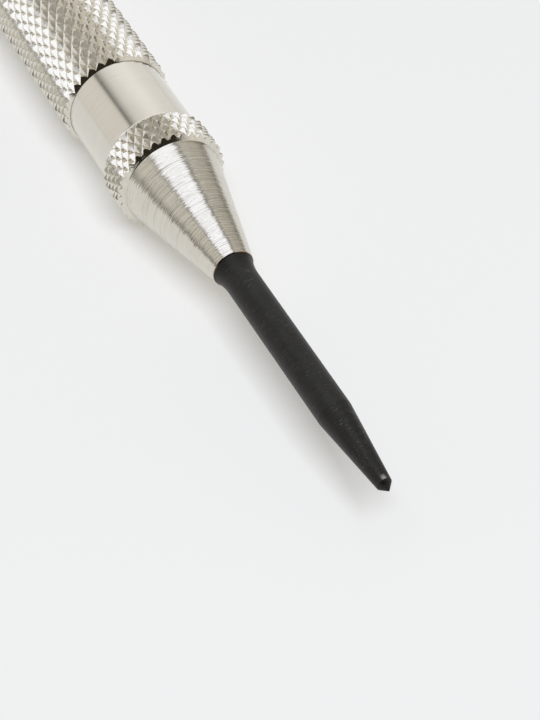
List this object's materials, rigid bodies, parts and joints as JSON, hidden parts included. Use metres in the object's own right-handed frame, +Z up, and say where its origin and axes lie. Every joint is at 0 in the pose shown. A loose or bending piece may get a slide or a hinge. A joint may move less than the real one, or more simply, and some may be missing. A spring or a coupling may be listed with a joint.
{
  "type": "automatic center punch",
  "caption": "Spring-loaded automatic center punch with a black punch point, turned nose cone with knurled band, smooth barrel and long knurled grip that sets the blow.",
  "frame": {"origin": "middle of the tool's length and width, on the surface that it lies on", "axes": "+X along the tool towards the point, +Z up from the surface it lies on"},
  "size_m": [0.13, 0.014, 0.0139],
  "materials": {
    "knurled_nickel": "diamond-knurled, nickel-plated",
    "satin_nickel": "satin, nickel-plated",
    "turned_nickel": "finely turned, nickel-plated",
    "black_oxide": "black oxide, satin",
    "bright_steel": "turned",
    "hardened_steel": "hardened, ground",
    "spring_steel": "drawn wire, oiled"
  },
  "bodies": {
    "barrel": {"barrel": "satin_nickel", "nose_cone": "turned_nickel", "guide_bush": "hardened_steel", "return_spring": "spring_steel"},
    "plunger": {"punch": "black_oxide", "plunger": "bright_steel"},
    "hammer": {"hammer": "hardened_steel", "catch_spring": "spring_steel"},
    "trip_catch": {"trip_catch": "hardened_steel"},
    "spring_seat": {"spring_seat": "bright_steel", "main_spring": "spring_steel"},
    "grip_sleeve": {"grip_sleeve": "knurled_nickel", "end_plug": "satin_nickel"}
  },
  "joints": [
    {"name": "punch_press", "type": "slide", "parent": "barrel", "child": "plunger", "axis": [-1, 0, 0], "range_m": [0, 0.008], "stiffness_N_per_m": 600, "deforming": ["return_spring"]},
    {"name": "hammer_cock", "type": "slide", "parent": "barrel", "child": "hammer", "axis": [-1, 0, 0], "range_m": [0, 0.0081], "stiffness_N_per_m": 8000, "deforming": ["main_spring"]},
    {"name": "catch_shift", "type": "slide", "parent": "hammer", "child": "trip_catch", "axis": [0, -1, 0], "range_m": [0, 0.00071], "stiffness_N_per_m": 300, "deforming": ["catch_spring"]},
    {"name": "sleeve_advance", "type": "slide", "parent": "barrel", "child": "spring_seat", "axis": [1, 0, 0], "range_m": [-0.0025, 0.0025]},
    {"name": "sleeve_turn", "type": "hinge", "parent": "spring_seat", "child": "grip_sleeve", "pos_m": [-0.03, 0, 0.00697], "axis": [1, 0, 0], "range_deg": [-722, 722]}
  ],
  "couplings": [
    {"joint": "hammer_cock", "follows": "punch_press", "ratio": 1},
    {"joint": "catch_shift", "follows": "punch_press", "ratio": 0.0875},
    {"joint": "sleeve_turn", "follows": "sleeve_advance", "rad_per_m": 5026.5}
  ]
}
